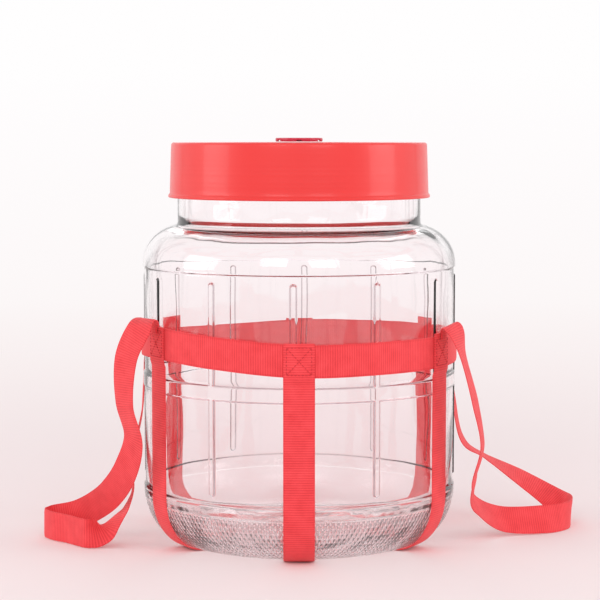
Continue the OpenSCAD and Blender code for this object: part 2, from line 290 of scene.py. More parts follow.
def glass_material():
    mat, tree, bsdf = new_material("glass")
    bsdf.inputs["IOR"].default_value = 1.5
    bsdf.inputs["Transmission Weight"].default_value = 1.0
    pos = put(tree, "ShaderNodeTexCoord").outputs["Object"]
    x, y, z = split(tree, pos)
    marks = put(tree, "ShaderNodeAttribute", attribute_name="zone", attribute_type="GEOMETRY")
    zone = split(tree, marks.outputs["Vector"])
    turn = math_node(tree, "ARCTAN2", y, x)
    # 196 dots round the heel in each row, every other row set off by half a dot.
    across = math_node(tree, "COSINE", math_node(tree, "MULTIPLY", turn, 196.0))
    down = math_node(tree, "COSINE", math_node(tree, "MULTIPLY", zone[2], 0.80))
    dots = math_node(tree, "MAXIMUM", math_node(tree, "MULTIPLY", across, down), 0.0)
    # Only what is seen from outside is stippled: from inside the glass the dots are lost in the soft heel.
    outside = math_node(tree, "SUBTRACT", 1.0, put(tree, "ShaderNodeNewGeometry").outputs["Backfacing"])
    heel = math_node(tree, "MULTIPLY", zone[0], outside)
    stipple = math_node(tree, "MULTIPLY", dots, heel)
    # Between the dots the glass is tinted darker and pinker: painted shade for the dark rims that refraction gives real
    # stipple.
    dot_gap_painted_shade = math_node(tree, "MULTIPLY", math_node(tree, "SUBTRACT", 1.0, dots), heel)
    # The flanks of the ribs, the ring and the panels' edges are tinted dark grey: painted shade for the dark lines that
    # refraction draws along them.
    flank_painted_shade = put(tree, "ShaderNodeAttribute", attribute_name="flank_painted_shade", attribute_type="GEOMETRY").outputs["Fac"]
    tint_and_painted_shade = put(tree, "ShaderNodeMix", data_type="RGBA")
    tree.links.new(flank_painted_shade, tint_and_painted_shade.inputs[0])
    tree.links.new(ramp(tree, dot_gap_painted_shade, [(0.25, (0.999, 0.966, 0.972)), (1.0, (0.74, 0.62, 0.64))]), tint_and_painted_shade.inputs[6])
    tint_and_painted_shade.inputs[7].default_value = (0.40, 0.30, 0.33, 1.0)
    tree.links.new(tint_and_painted_shade.outputs[2], bsdf.inputs["Base Color"])
    wave = bump(tree, noise(tree, pos, 17.0, 1.0), 0.0022, 0.6)
    ripple = bump(tree, math_node(tree, "MULTIPLY", noise(tree, pos, 45.0, 2.0), zone[1]), 0.004, 0.8, wave)
    tree.links.new(bump(tree, stipple, 0.0009, 1.0, ripple), bsdf.inputs["Normal"])
    tree.links.new(math_node(tree, "MULTIPLY", zone[1], 0.24), bsdf.inputs["Roughness"])
    ray = put(tree, "ShaderNodeLightPath")
    seeks = math_node(tree, "MAXIMUM", ray.outputs["Is Shadow Ray"], ray.outputs["Is Diffuse Ray"])
    tree.links.new(math_node(tree, "SUBTRACT", 1.0, math_node(tree, "MULTIPLY", seeks, 0.985)), bsdf.inputs["Alpha"])
    print("glass:", len(tree.nodes), "nodes")
    return mat


GLASS = glass_material()

# %% [markdown]
# ## Moulded plastic and rubber
# Lid, cap, cup, bell and the seals are all moulded. They share one effect: a slight drift of colour,
# roughness that changes over the surface, a fine grain and faint level lines from the mould. An effect
# that several materials use is a node group with named inputs, built once and placed in each with its
# own values. The group gives out only colour, roughness and height, and the shader stays outside.

# %% Node group for moulded surfaces


def group_socket(group, name, kind, way="INPUT"):
    return group.interface.new_socket(name=name, in_out=way, socket_type=kind)


def moulded_group():
    group = bpy.data.node_groups.new("moulded_surface", "ShaderNodeTree")
    for name, kind in (("Place", "NodeSocketVector"), ("Deep", "NodeSocketColor"), ("Light", "NodeSocketColor"),
                       ("Rough", "NodeSocketFloat"), ("Lines", "NodeSocketFloat")):
        group_socket(group, name, kind)
    for name, kind in (("Color", "NodeSocketColor"), ("Roughness", "NodeSocketFloat"), ("Height", "NodeSocketFloat")):
        group_socket(group, name, kind, "OUTPUT")
    given, out = group.nodes.new("NodeGroupInput"), group.nodes.new("NodeGroupOutput")
    place = given.outputs["Place"]
    mix = put(group, "ShaderNodeMix", data_type="RGBA")
    group.links.new(ramp(group, noise(group, place, 9.0), [(0.3, (0, 0, 0)), (0.7, (1, 1, 1))]), mix.inputs[0])
    group.links.new(given.outputs["Deep"], mix.inputs[6])
    group.links.new(given.outputs["Light"], mix.inputs[7])
    group.links.new(mix.outputs[2], out.inputs["Color"])
    drift = math_node(group, "MULTIPLY", math_node(group, "SUBTRACT", noise(group, place, 60.0, 4.0), 0.5), 0.16)
    group.links.new(math_node(group, "ADD", given.outputs["Rough"], drift), out.inputs["Roughness"])
    level = put(group, "ShaderNodeCombineXYZ")
    group.links.new(split(group, place)[2], level.inputs[2])
    lines = math_node(group, "MULTIPLY", noise(group, level.outputs[0], 240.0, 1.0), given.outputs["Lines"])
    grain = math_node(group, "MULTIPLY", noise(group, place, 900.0, 2.0), 0.12)
    group.links.new(math_node(group, "ADD", lines, grain), out.inputs["Height"])
    print("moulded_surface:", len(group.nodes), "nodes")
    return group


MOULDED = moulded_group()

# %% Plastic and rubber materials


def moulded(name, deep, light, rough, lines, coat=0.0):
    mat, tree, bsdf = new_material(name)
    surface = put(tree, "ShaderNodeGroup")
    surface.node_tree = MOULDED
    tree.links.new(put(tree, "ShaderNodeTexCoord").outputs["Object"], surface.inputs["Place"])
    surface.inputs["Deep"].default_value = (*deep, 1)
    surface.inputs["Light"].default_value = (*light, 1)
    surface.inputs["Rough"].default_value = rough
    surface.inputs["Lines"].default_value = lines
    tree.links.new(surface.outputs["Color"], bsdf.inputs["Base Color"])
    tree.links.new(surface.outputs["Roughness"], bsdf.inputs["Roughness"])
    tree.links.new(bump(tree, surface.outputs["Height"], 0.0004, 0.5), bsdf.inputs["Normal"])
    bsdf.inputs["Coat Weight"].default_value = coat
    bsdf.inputs["Coat Roughness"].default_value = 0.10
    print(name, "rough", rough)
    return mat


LID_RED = moulded("lid_plastic", (0.77, 0.017, 0.015), (0.81, 0.024, 0.021), 0.36, 0.9, 0.25)
CAP_RED = moulded("cap_plastic", (0.55, 0.020, 0.060), (0.62, 0.028, 0.072), 0.34, 0.2, 0.2)
PALE = moulded("clear_plastic", (0.93, 0.62, 0.64), (0.97, 0.70, 0.71), 0.27, 0.1, 0.2)
RUBBER = moulded("rubber", (0.55, 0.53, 0.50), (0.62, 0.60, 0.57), 0.62, 0.1)

# %% [markdown]
# ## Woven webbing and thread
# The harness is red polyester webbing about 25 mm wide. Its cross ribs are modelled, because they
# catch the light at the edges, and the nodes paint shade into the grooves between them; the finer warp
# yarns, the loose fibres and the drift of the dye come from nodes as well. They read the tape attribute,
# which holds the length along the tape and the place across it in millimetres, so the weave bends with
# every fold. A little sheen stands for the fibre ends.

# %% Webbing and thread materials


def webbing():
    mat, tree, bsdf = new_material("webbing")
    uv = put(tree, "ShaderNodeAttribute", attribute_name="tape", attribute_type="GEOMETRY").outputs["Vector"]
    along, across, _ = split(tree, uv)
    yarn = math_node(tree, "SINE", math_node(tree, "MULTIPLY", across, 2 * math.pi * 1.4))
    rib = math_node(tree, "COSINE", math_node(tree, "MULTIPLY", along, 2 * math.pi / 2.0))
    edge = math_node(tree, "GREATER_THAN", math_node(tree, "ABSOLUTE", across), 11.6)
    drift = noise(tree, uv, 0.08, 4.0)
    fibre = noise(tree, uv, 2.2, 4.0, 0.7)
    tone = math_node(tree, "ADD", math_node(tree, "MULTIPLY", fibre, 0.5), math_node(tree, "MULTIPLY", drift, 0.45))
    # The woven ribs get a lighter colour on their crests and a darker one in the grooves between them: painted shade.
    shade = math_node(tree, "ADD", tone, math_node(tree, "MULTIPLY", rib, 0.13))
    shade = math_node(tree, "SUBTRACT", shade, math_node(tree, "MULTIPLY", edge, 0.10))
    colour = ramp(tree, shade, [(0.22, (0.68, 0.020, 0.028)), (0.5, (0.88, 0.046, 0.056)),
                                (0.8, (0.96, 0.090, 0.102))])
    tree.links.new(colour, bsdf.inputs["Base Color"])
    bsdf.inputs["Roughness"].default_value = 0.72
    bsdf.inputs["Sheen Weight"].default_value = 0.12
    height = math_node(tree, "ADD", math_node(tree, "MULTIPLY", yarn, 0.5), fibre)
    tree.links.new(bump(tree, height, 0.00012, 0.8), bsdf.inputs["Normal"])
    print("webbing:", len(tree.nodes), "nodes")
    return mat


WEB = webbing()
THREAD = moulded("thread", (0.52, 0.012, 0.022), (0.62, 0.020, 0.030), 0.6, 0.05)

# %% [markdown]
# ## Glass jar
# The jar is pressed in a mould: a rounded heel on a standing ring, a plain belt, two rows of panels
# between twelve upright ribs, a ring between the rows, a shoulder, and a neck with a screw thread. It
# could be built from many parts, but glass only looks right as one closed skin with an inside and an
# outside. So one profile is spun, and ribs and thread are raised from it by moving vertices. The even
# steps of the spin are first crowded towards the ribs, where the shape changes fast.

# %% Jar profile
STEPS = 372
STEP_IN = 0.45


def jar_outside():
    fine = [RING_LO - 2.5 + 0.5 * i for i in range(30)]
    cap_lo = [BELT_TOP + 5 + 0.6 * i for i in range(9)]
    cap_hi = [SHOULDER_Z - 13 + 0.6 * i for i in range(9)]
    heights = sorted(set([47.0, 48.0, 48.8, 49.4, 50.0, 50.6, 51.4, 53.0] + cap_lo + [66, 82, 98, 114, 126]
                         + fine + [152, 158, 172, 186, 202, 216, 224] + cap_hi
                         + [235, 236.4, 237.0, 237.5, 238.0, 238.5, 239.2]))
    pts = [(0.0, GLASS_Z + PUNT), (22.0, GLASS_Z + PUNT - 0.1), (45.0, GLASS_Z + PUNT - 0.5), (70.0, GLASS_Z + 3.2),
           (87.0, GLASS_Z + 1.8), (90.0, GLASS_Z + 0.9), (92.0, GLASS_Z + 0.15), (93.0, GLASS_Z), (96.5, GLASS_Z)]
    heel = arc(FOOT_R, HEEL_TOP, RIB_R - FOOT_R, HEEL_H, -90, 0, 26)
    heel += arc(FOOT_R, HEEL_TOP, RIB_R - FOOT_R, HEEL_H, -13.2, -7.8, 9)
    pts += [(r - STEP_IN * (1 - smoothstep(z, 37.6, 38.8)), z) for r, z in sorted(heel, key=lambda p: p[1])]
    for z in heights:
        belt = 1 - smoothstep(z, BELT_TOP - 1.2, BELT_TOP + 1.4)
        ring = smoothstep(z, RING_LO - 1.6, RING_LO + 0.2) * (1 - smoothstep(z, RING_HI - 0.8, RING_HI + 1.0))
        top = smoothstep(z, SHOULDER_Z - 3.2, SHOULDER_Z - 1.6)
        pts.append((PANEL_R + RELIEF * max(belt, ring, top), z))
    return pts + arc(RIB_R - SHOULDER_A, SHOULDER_Z, SHOULDER_A, SHOULDER_H, 0, 74, 22)


def jar_neck():
    z0 = SHOULDER_Z + SHOULDER_H * math.sin(math.radians(74))
    pts = arc(NECK_R + 4.6, z0 + 4.0, 4.6, 4.6, 250, 180, 8)
    pts += [(NECK_R, z) for z in (283, 290, 298, 306)] + [(NECK_R, 310 + 0.8 * i) for i in range(22)]
    pts += [(NECK_R, 332.0), (NECK_R, RIM_Z - 2)] + arc(NECK_R - 2, RIM_Z - 2, 2, 2, 20, 90, 5)
    return pts + [(NECK_R - WALL + 2.0, RIM_Z)] + arc(NECK_R - WALL + 2.0, RIM_Z - 1.2, 1.2, 1.2, 110, 180, 4)


def jar_inside():
    pts = [(NECK_R - WALL + 0.8, z) for z in (330, 312, 294, 282)]
    pts += arc(RIB_R - SHOULDER_A, SHOULDER_Z, SHOULDER_A - WALL, SHOULDER_H - WALL, 84, 0, 18)
    pts += [(RIB_R - WALL, z) for z in (200, 160, 120, 80, 60)]
    pts += arc(FOOT_R - 3, HEEL_TOP, RIB_R - WALL - FOOT_R + 3, HEEL_H - 7.5, 0, -90, 18)
    return pts + [(70.0, GLASS_Z + PUNT + 4.6), (45.0, GLASS_Z + PUNT + 6.2), (22.0, GLASS_Z + PUNT + 6.7),
                  (0.0, GLASS_Z + PUNT + 6.8)]


print("profile points:", len(jar_outside() + jar_neck() + jar_inside()))

# %% Ribs and thread


def warp_turn(turn):
    """Crowds the spin's even steps towards the twelve ribs."""
    pitch = math.radians(30)
    k = round(turn / pitch)
    d = (turn / pitch - k) * 2
    near, share = 0.13, 0.56
    a = abs(d)
    a = a / share * near if a < share else near + (a - share) / (1 - share) * (1 - near)
    return (k + math.copysign(a, d) / 2) * pitch


def rib_height(turn, z):
    """How far a rib stands out of its panel at this turn and height, in millimetres."""
    pitch = math.radians(30)
    d = (turn - round(turn / pitch) * pitch) * RIB_R
    best = 0.0
    for z0, z1 in ((BELT_TOP + 6, RING_LO + 1), (RING_HI - 1, SHOULDER_Z - 9)):
        zc = min(max(z, z0 + RIB_W / 2), z1 - RIB_W / 2)
        dist = math.hypot(d, z - zc)
        best = max(best, 1 - smoothstep(dist, RIB_W / 2 - 1.3, RIB_W / 2 + 0.4))
    return best * RELIEF


def neck_thread(turn, z):
    """Four-start thread on the neck: four short helical beads with run-out ends."""
    out = 0.0
    for s in range(STARTS):
        local = (turn - s * 2 * math.pi / STARTS) % (2 * math.pi)
        if local > math.radians(100):
            continue
        zc = 314.0 + LEAD * local / (2 * math.pi)
        ends = smoothstep(local, 0, 0.15) * (1 - smoothstep(local, math.radians(92), math.radians(100)))
        out = max(out, ends * (1 - smoothstep(abs(z - zc), 0.5, 1.5)) * 1.3)
    return out


def jar_shape(co):
    x, y, z = co / MM
    r = math.hypot(x, y)
    if r < 1e-6:
        return co
    turn = warp_turn(math.atan2(y, x))
    if r > PANEL_R - 1.5 and BELT_TOP < z < SHOULDER_Z:
        r = max(r, PANEL_R + rib_height(turn, z))
    if abs(r - NECK_R) < 0.01 and 309 < z < 331:
        r += neck_thread(turn, z)
    turn += math.radians(RIB_TURN)
    return Vector((r * math.cos(turn), r * math.sin(turn), z)) * MM


print("rib", RIB_W, "mm wide and", RELIEF, "mm proud")

# %% Jar mesh and its zones


def glass_zone(co):
    """(stippled heel, soft inner heel, way along the heel's curve in millimetres)."""
    x, y, z = co / MM
    r = math.hypot(x, y)
    out, up = (r - FOOT_R) / (RIB_R - FOOT_R), (HEEL_TOP - z) / HEEL_H
    along = math.atan2(up, max(out, 1e-6)) * 40.0
    shell = math.hypot(max(out, 0.0), up)
    heel = 1.0 if z < HEEL_TOP - 1 and out > 0.03 and shell > 0.97 else 0.0
    inner = 1.0 if z < HEEL_TOP and shell < 0.93 and z > GLASS_Z + PUNT + 0.2 else 0.0
    return heel * (1 - smoothstep(z, 37.6, 38.4)), inner * (1 - smoothstep(z, 38, HEEL_TOP)), along


jar_profile = jar_outside() + jar_neck() + jar_inside()
jar = lathe("jar_glass", jar_profile, STEPS, closed=False, shape=jar_shape, shade_angle=None)
zones = jar.data.attributes.new("zone", "FLOAT_VECTOR", "POINT")
zones.data.foreach_set("vector", [c for v in jar.data.vertices for c in glass_zone(v.co)])


def flank_shade_amount(vertex):
    """Painted shade: 0 on a plain wall or panel, up to 1 where a rib, the ring or a panel's edge turns away from it."""
    x, y, z = vertex.co / MM
    r = math.hypot(x, y)
    if r < PANEL_R - 1.5 or not BELT_TOP - 1 < z < SHOULDER_Z:
        return 0.0
    facing = (vertex.normal.x * x + vertex.normal.y * y) / r
    return smoothstep(1 - facing, 0.02, 0.22)


# Painted shade along ribs, ring and panel edges, stored on the points.
flank_shade_layer = jar.data.attributes.new("flank_painted_shade", "FLOAT", "POINT")
flank_shade_layer.data.foreach_set("value", [flank_shade_amount(v) for v in jar.data.vertices])
print("flanks:", sum(f.value > 0.5 for f in flank_shade_layer.data), "points")
dress(jar, GLASS, "glass", "jar", "glass_jar")

# %% [markdown]
# ## Screw lid
# The lid is a deep moulded skirt with a small rolled lip, a sunk top panel, a ring that goes down
# inside the glass rim, and a thread inside. Seen from outside it is nearly plain, so its edges decide
# how real it looks: every corner has a small radius that catches a thin line of light.

# %% Lid
LIP_R, TOP_R, SKIRT_IN = 113.0, 110.2, NECK_R + 2.5
PANEL_TOP = LID_TOP - 1.2
PANEL_UNDER = PANEL_TOP - 2.2
HOLE_R = 18.6


def lid_profile():
    plug_out, plug_in, plug_z = NECK_R - WALL - 2, NECK_R - WALL - 4, PANEL_UNDER - 7
    side_lo, side_hi = LID_BOTTOM + 4.6, LID_TOP - 3
    pts = [(HOLE_R, PANEL_TOP - 0.3), (HOLE_R + 0.3, PANEL_TOP), (40, PANEL_TOP), (70, PANEL_TOP), (88, PANEL_TOP)]
    pts += [(89.6, PANEL_TOP + 0.1), (90.4, PANEL_TOP + 0.5), (91.0, LID_TOP - 0.2), (92.0, LID_TOP)]
    pts += arc(TOP_R - 2.5, LID_TOP - 2.5, 2.5, 2.5, 90, 6, 8)
    pts += [(TOP_R + (LIP_R - 1.4 - TOP_R) * t, side_hi + (side_lo - side_hi) * t) for t in (0.15, 0.4, 0.7, 0.93)]
    pts += [(LIP_R - 1.5, LID_BOTTOM + 4.2), (LIP_R - 1.1, LID_BOTTOM + 3.4), (LIP_R - 0.4, LID_BOTTOM + 2.7)]
    pts += arc(LIP_R - 1.1, LID_BOTTOM + 1.2, 1.1, 1.2, 50, -90, 7)
    pts += [(SKIRT_IN + 0.3, LID_BOTTOM), (SKIRT_IN, LID_BOTTOM + 0.3)]
    pts += [(SKIRT_IN, z) for z in (303, 308)] + [(SKIRT_IN, 311 + 0.8 * i) for i in range(22)]
    pts += [(SKIRT_IN, PANEL_UNDER - 0.8), (SKIRT_IN - 0.8, PANEL_UNDER), (plug_out, PANEL_UNDER), (plug_out, plug_z + 0.6),
            (plug_out - 0.6, plug_z), (plug_in + 0.4, plug_z), (plug_in, plug_z + 0.6), (plug_in, PANEL_UNDER),
            (60, PANEL_UNDER), (HOLE_R, PANEL_UNDER)]
    return pts


def lid_shape(co):
    x, y, z = co / MM
    r = math.hypot(x, y)
    if abs(r - SKIRT_IN) < 0.01 and 310 < z < 330:
        turn = math.atan2(y, x)
        r -= neck_thread(turn - math.radians(RIB_TURN), z + 3.0) * 0.9
        return Vector((r * math.cos(turn), r * math.sin(turn), z)) * MM
    return co


lid = lathe("lid_shell", lid_profile(), 300, shape=lid_shape, shade_angle=35)
dress(lid, LID_RED, "lid_plastic", "lid", "screw_lid")

# %% [markdown]
# ## Seals
# A flat rubber ring lies between the glass rim and the lid, and a grommet seals the airlock's cup in
# the lid's hole. Rubber has no sharp corners, so each corner of the profile is eased before the spin.

# %% Gasket and grommet
SEWN = 0.1
CUP_R, CUP_TOP, CAP_TOP = 16.0, LID_TOP + 0.9, LID_TOP + 3.9
CUP_FLOOR = CUP_TOP - 26

gasket_in, gasket_out = NECK_R - WALL - 1.2, NECK_R + 0.4
gasket_profile = eased([(gasket_in, RIM_Z + SEWN), (gasket_out, RIM_Z + SEWN), (gasket_out, PANEL_UNDER - SEWN),
                        (gasket_in, PANEL_UNDER - SEWN)], 0.5)
gasket = lathe("gasket_ring", gasket_profile, 180, shade_angle=35)
dress(gasket, RUBBER, "rubber", "gasket", "lid_gasket")

lip_out, neck_in = HOLE_R + 1.9, HOLE_R - SEWN
grommet_profile = eased([(CUP_R + SEWN, PANEL_UNDER - 1.4), (lip_out, PANEL_UNDER - 1.4), (lip_out, PANEL_UNDER - SEWN),
                         (neck_in, PANEL_UNDER - SEWN), (neck_in, PANEL_TOP + SEWN), (lip_out, PANEL_TOP + SEWN),
                         (lip_out, LID_TOP - 0.2), (CUP_R + SEWN, LID_TOP - 0.2)], 0.35)
grommet = lathe("grommet_ring", grommet_profile, 120, shade_angle=35)
dress(grommet, RUBBER, "rubber", "lid", "airlock_grommet")

# %% [markdown]
# ## Airlock
# The airlock lets gas out and no air in. A cup with a chimney holds water, a loose bell stands over
# the chimney with its notched foot in the water, and a vented cap closes the top. Gas lifts the bell,
# bubbles out through the notches and leaves through the vents. Vents and notches could be cut with
# Booleans, but raising a few vertices of the turned foot gives the same slots with a clean mesh.

# %% Cap, cup and bell


def cap_profile():
    foot = CUP_TOP + 0.1
    pts = [(0.0, CAP_TOP - 0.5), (8.0, CAP_TOP - 0.5), (15.6, CAP_TOP - 0.4), (16.4, CAP_TOP - 0.05), (17.2, CAP_TOP)]
    pts += arc(20.3 - 0.8, CAP_TOP - 0.8, 0.8, 0.8, 90, 0, 5)
    under = CAP_TOP - 1.6
    pts += [(20.3, foot + 0.3), (20.1, foot), (19.1, foot), (18.9, foot + 0.3), (18.9, CAP_TOP - 1.8), (18.5, under)]
    return pts + [(14.1, under), (14.1, foot - 3.2), (12.8, foot - 3.2), (12.8, under), (0.0, under)]


def cap_shape(co):
    """Six vents: the skirt's foot is raised where gas leaves."""
    x, y, z = co / MM
    turn = math.degrees(math.atan2(y, x)) % 60
    if math.hypot(x, y) > 18.5 and z < CUP_TOP + 0.5 and abs(turn - 30) * math.radians(1) * 20 < 2.2:
        z += 0.9
    return Vector((x, y, z)) * MM


cap = lathe("airlock_cap_shell", cap_profile(), 144, closed=False, shape=cap_shape, shade_angle=35)
dress(cap, CAP_RED, "cap_plastic", "cap", "airlock_cap")

cup_profile = eased([(4.0, CUP_FLOOR), (CUP_R, CUP_FLOOR), (CUP_R, CUP_TOP - 1.0), (20.0, CUP_TOP - 1.0), (20.0, CUP_TOP),
                     (14.4, CUP_TOP), (14.4, CUP_FLOOR + 1.6), (5.6, CUP_FLOOR + 1.6), (5.6, CUP_TOP - 7.0),
                     (4.0, CUP_TOP - 7.0)], 0.25)
cup = lathe("airlock_cup_shell", cup_profile, 96, shade_angle=35)
dress(cup, PALE, "clear_plastic", "lid", "airlock_cup")

BELL_FOOT, BELL_TOP, NOTCH = CUP_FLOOR + 1.7, CAP_TOP - 5.4, 3.0


def bell_shape(co):
    """Four notches in the foot, where the gas bubbles out into the water."""
    x, y, z = co / MM
    if z < BELL_FOOT + 0.6 and min(abs(x), abs(y)) < 1.6:
        z += NOTCH
    return Vector((x, y, z)) * MM


bell_profile = [(0.0, BELL_TOP), (9.2, BELL_TOP), (9.75, BELL_TOP - 0.25), (10.0, BELL_TOP - 0.8), (10.0, BELL_FOOT + 4.0),
                (10.0, BELL_FOOT + 0.3), (9.8, BELL_FOOT), (8.8, BELL_FOOT), (8.6, BELL_FOOT + 0.3), (8.6, BELL_FOOT + 4.0),
                (8.6, BELL_TOP - 1.7), (8.3, BELL_TOP - 1.4), (0.0, BELL_TOP - 1.4)]
bell = lathe("airlock_bell_shell", bell_profile, 144, closed=False, shape=bell_shape, shade_angle=35)
dress(bell, PALE, "clear_plastic", "bell", "airlock_bell")

# %% [markdown]
# ## How the band hangs
# The waist band isn't level: it is slack, so it rides up beside the left strap and sinks towards the
# rear. Its rise is noted every 30 degrees round the jar, and a smooth curve runs through those values.
# Straps and stitches ask the same function, so that they stay with the band.

# %% Band rise
BAND_SAG = [-4.5, -7.5, -6, 4, 7.5, 4.5, 0, 0.5, 0.5, 0.5, -2.5, -4, -4.5]


def band_rise(turn):
    """Rise of the band at a turn from -180 to 180 degrees: 0 is the front, 90 the right side."""
    q = [2 * BAND_SAG[0] - BAND_SAG[1]] + BAND_SAG + [2 * BAND_SAG[-1] - BAND_SAG[-2]]
    u = (turn + 180) / 30
    i = min(int(u), 11)
    t = u - i
    a, b, c, d = q[i:i + 4]
    return 0.5 * (2 * b + (c - a) * t + (2 * a - 5 * b + 4 * c - d) * t * t + (3 * b - a - 3 * c + d) * t ** 3)


print("band rise at the straps:", [round(band_rise(t), 1) for t in (-120, -60, 0, 60, 120, 180)])

# %% [markdown]
# ## Straps
# Three straps cross under the jar and run up its wall to the band, where each end lies over the band
# and is sewn down. A strap could be bent with a curve modifier, but its place is known exactly: the
# middle line follows the glass, one layer higher where it crosses another strap, and the tape wraps
# round the wall. Woven cross ribs are raised from the tape every 2 mm.

# %% Tape helpers
RIB_PITCH = 2.0


def cross_rib(s, v):
    """Height of the woven cross ribs, fading out at the two selvedges."""
    return 0.11 * (0.5 + 0.5 * math.cos(2 * math.pi * s / RIB_PITCH)) * (1 - smoothstep(abs(v), 0.9, 1.0))


def store_tape(obj, coords):
    layer = obj.data.attributes.new("tape", "FLOAT_VECTOR", "POINT")
    layer.data.foreach_set("vector", [c for p in coords for c in p])


def tape_from(name, frames, step, across=8, crease=None):
    """frames: for each step the middle and the normal, as functions of the place across, and half the width."""
    n = len(frames) - 1
    coords = []

    def place(u, v, side):
        i = min(int(u * n + 1e-6), n)
        mid, normal, half = frames[i]
        thin = 1 - 0.45 * smoothstep(abs(v), 0.86, 1.0)
        off = side * (WEB_T / 2 * thin - 0.08 + cross_rib(i * step, v))
        if crease:
            off += crease(i * step, v * half)
        coords.append((i * step, v * half, side))
        return (mid(v * half) + normal(v * half) * off) * MM

    obj = slab(name, n, across, place)
    store_tape(obj, coords)
    return obj


print("cross ribs every", RIB_PITCH, "mm")

# %% Straps
WALL_MID = RIB_R + 0.3 + WEB_T / 2
OVER_MID = WALL_MID + WEB_T + SEWN


def strap_side(top, layer, rise):
    """Middle line of half a strap, from its top to the middle of the base."""
    lift = layer * (WEB_T + SEWN) + WEB_T / 2
    flat, ramp_end, step_z = 28 - layer, 36 + 8 * layer, BAND_Z + rise
    pts = [(OVER_MID, top), (OVER_MID, step_z + 14), (OVER_MID, step_z - 1.5), (OVER_MID - 0.3, step_z - 2.6),
           (WALL_MID + 0.3, step_z - 4.6), (WALL_MID, step_z - 6), (WALL_MID, 120), (WALL_MID, 80)]
    pts += arc(FOOT_R, HEEL_TOP, WALL_MID - FOOT_R, HEEL_TOP - WEB_T / 2, 0, -90, 24)
    pts += [(FOOT_R - 20, WEB_T / 2), (ramp_end + 8, WEB_T / 2), (ramp_end, WEB_T / 2)]
    if layer:
        pts += [(ramp_end - 1, WEB_T / 2 + 0.1), (flat + 1, lift - 0.1)]
    return pts + [(flat, lift), (flat / 2, lift)]


def strap_frame(r, z, nrm, spin):
    """The tape wraps round the wall where it is upright, and lies flat under the jar."""
    curve = smoothstep(abs(r), 60, 128)

    def mid(x):
        sag = curve * (abs(r) - math.sqrt(max(0.0, r * r - x * x))) if curve else 0.0
        return spin @ Vector((x, math.copysign(abs(r) - sag, r), z))

    def normal(x):
        tilt = math.asin(max(-1, min(1, x / max(abs(r), 20)))) * curve
        return spin @ (Matrix.Rotation(-tilt if r > 0 else tilt, 3, "Z") @ nrm)

    return mid, normal, STRAP_W / 2


def strap(name, node, turn, front_top, rear_top, layer, crease=None):
    front = strap_side(front_top, layer, band_rise(turn))
    rear = strap_side(rear_top, layer, band_rise(turn - 180 if turn > 0 else turn + 180))
    line = [(-r, z) for r, z in front] + [(0.0, front[-1][1])] + [(r, z) for r, z in reversed(rear)]
    path, length = resample([(0.0, r, z) for r, z in line], 0.34)
    spin = Matrix.Rotation(math.radians(turn), 3, "Z")
    frames = []
    for i, (_, r, z) in enumerate(path):
        a, b = path[max(0, i - 2)], path[min(len(path) - 1, i + 2)]
        t = Vector((0, b[1] - a[1], b[2] - a[2])).normalized()
        frames.append(strap_frame(r, z, Vector((0, t.z, -t.y)), spin))
    obj = tape_from(name, frames, length / (len(frames) - 1), 10, crease)
    dress(obj, WEB, "webbing", "harness", node)
    print(name, "tape length", round(length), "mm")
    return obj


def front_crease(s, x):
    """A shallow slanting fold line low on the band's crossing, where the tape was once folded."""
    along = s - 62 - x * 0.85
    return 0.28 * math.exp(-(along / 1.1) ** 2) if s < 120 else 0.0


BAND_EDGE = BAND_Z + BAND_W + 1
strap("strap_tape_middle", "strap_front_back", 0, BAND_EDGE, BAND_EDGE + band_rise(180), 0, front_crease)
strap("strap_tape_left", "strap_left_to_rear", -60, SIDE_TOP + 5, SIDE_TOP, 1)
strap("strap_tape_right", "strap_right_to_rear", 60, SIDE_TOP, SIDE_TOP + 1, 2)

# %% [markdown]
# ## Waist band
# The band is one ring of webbing round the jar. As it is round, it is spun like the lid, with six
# steps to each woven rib, and then its rise is added vertex by vertex.

# %% Waist band


def band_profile():
    n = 14
    side = [BAND_Z + 0.15 + (BAND_W - 0.3) * i / n for i in range(n + 1)]

    def half(z):
        v = abs(2 * (z - BAND_Z) / BAND_W - 1)
        return WEB_T / 2 * (1 - 0.45 * smoothstep(v, 0.86, 1.0)) - 0.08
    return [(WALL_MID + half(z), z) for z in side] + [(WALL_MID - half(z), z) for z in reversed(side)]


def band_shape(co):
    x, y, z = co / MM
    r = math.hypot(x, y)
    turn = math.atan2(x, -y)
    r += math.copysign(cross_rib(turn * WALL_MID, 2 * (z - BAND_Z) / BAND_W - 1), r - WALL_MID)
    return Vector((r * math.sin(turn), -r * math.cos(turn), z + band_rise(math.degrees(turn)))) * MM


def band_coords(co):
    turn = math.atan2(co.x, -co.y)
    return turn * WALL_MID, co.z / MM - BAND_Z - BAND_W / 2 - band_rise(math.degrees(turn)), 0.0


BAND_STEPS = round(2 * math.pi * WALL_MID / RIB_PITCH) * 6
band = lathe("band_tape", band_profile(), BAND_STEPS, wedges=42, shape=band_shape, shade_angle=60)
store_tape(band, [band_coords(v.co) for v in band.data.vertices])
dress(band, WEB, "webbing", "harness", "waist_band")

# %% [markdown]
# ## Hand loops
# A hand loop is a limp tape, sewn to the tops of two neighbouring straps. It leaves the strap pinched
# to a narrow end, hangs down, turns over and lies on the table, and comes back up to the other strap.
# Each stop on its route gives the tape's middle, the way its width points and how wide it is; a smooth
# curve joins the stops. A cloth simulation would find folds of its own, so the fold lines are listed
# one by one in the stops.

# %% Routes of the hand loops
LOOP_R = RIB_R + 0.3 + 2 * WEB_T + 0.1 + 0.3 + WEB_T / 2 + 0.25


def sewn_at(side, angle, drop, turn, wide):
    a = math.radians(angle)
    return (side * LOOP_R * math.sin(a), -LOOP_R * math.cos(a), SIDE_TOP - drop, turn, 0, wide)


def beside(side, stops):
    """Stops given by how far they stand out from the side of the jar, on its left or right."""
    return [(side * (RIB_R + out), y, z, turn, tilt, wide) for out, y, z, turn, tilt, wide in stops]


